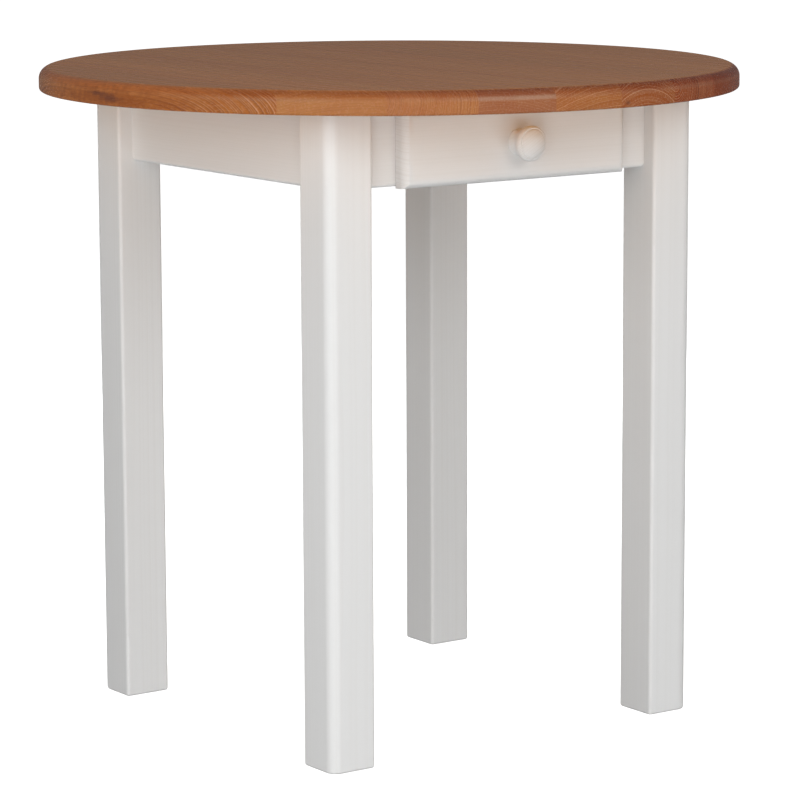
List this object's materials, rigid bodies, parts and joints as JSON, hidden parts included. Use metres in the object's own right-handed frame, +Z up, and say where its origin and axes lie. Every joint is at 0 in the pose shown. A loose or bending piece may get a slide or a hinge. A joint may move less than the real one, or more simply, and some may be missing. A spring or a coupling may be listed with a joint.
{
  "type": "tavern table",
  "caption": "Round stained pine tabletop on a white square-legged frame with deep aprons and a drawer with a turned knob, for dining or occasional use.",
  "frame": {"origin": "on the floor under the middle of the tabletop", "axes": "+Z up, -Y out of the drawer's front, +X to the right of someone facing the drawer"},
  "size_m": [0.8, 0.8, 0.748],
  "materials": {
    "stained_pine": "brown stain under satin lacquer",
    "white_lacquer": "white satin lacquer",
    "bare_pine": "planed, clear",
    "plywood": "sanded plywood",
    "beech": "planed",
    "zinc_steel": "zinc plated"
  },
  "bodies": {
    "frame": {"corner_brace_front_left": "bare_pine", "corner_brace_front_right": "bare_pine", "corner_brace_rear_left": "bare_pine", "corner_brace_rear_right": "bare_pine", "dowel_front_left_x_lower": "beech", "dowel_front_left_x_upper": "beech", "dowel_front_left_y_lower": "beech", "dowel_front_left_y_upper": "beech", "dowel_front_right_x_lower": "beech", "dowel_front_right_x_upper": "beech", "dowel_front_right_y_lower": "beech", "dowel_front_right_y_upper": "beech", "dowel_rear_left_x_lower": "beech", "dowel_rear_left_x_upper": "beech", "dowel_rear_left_y_lower": "beech", "dowel_rear_left_y_upper": "beech", "dowel_rear_right_x_lower": "beech", "dowel_rear_right_x_upper": "beech", "dowel_rear_right_y_lower": "beech", "dowel_rear_right_y_upper": "beech", "front_apron": "white_lacquer", "guide_left": "bare_pine", "guide_right": "bare_pine", "kicker_left": "bare_pine", "kicker_right": "bare_pine", "left_apron": "white_lacquer", "leg_front_left": "white_lacquer", "leg_front_right": "white_lacquer", "leg_rear_left": "white_lacquer", "leg_rear_right": "white_lacquer", "rear_apron": "white_lacquer", "right_apron": "white_lacquer", "runner_left": "bare_pine", "runner_right": "bare_pine", "top_board_1": "stained_pine", "top_board_10": "stained_pine", "top_board_2": "stained_pine", "top_board_3": "stained_pine", "top_board_4": "stained_pine", "top_board_5": "stained_pine", "top_board_6": "stained_pine", "top_board_7": "stained_pine", "top_board_8": "stained_pine", "top_board_9": "stained_pine"},
    "drawer": {"drawer_back": "bare_pine", "drawer_bottom": "plywood", "drawer_front": "white_lacquer", "drawer_inner_front": "bare_pine", "drawer_side_left": "bare_pine", "drawer_side_right": "bare_pine", "knob": "white_lacquer", "knob_screw": "zinc_steel"}
  },
  "joints": [
    {"name": "drawer_slide", "type": "slide", "parent": "frame", "child": "drawer", "axis": [0, -1, 0], "range_m": [0, 0.28]}
  ]
}
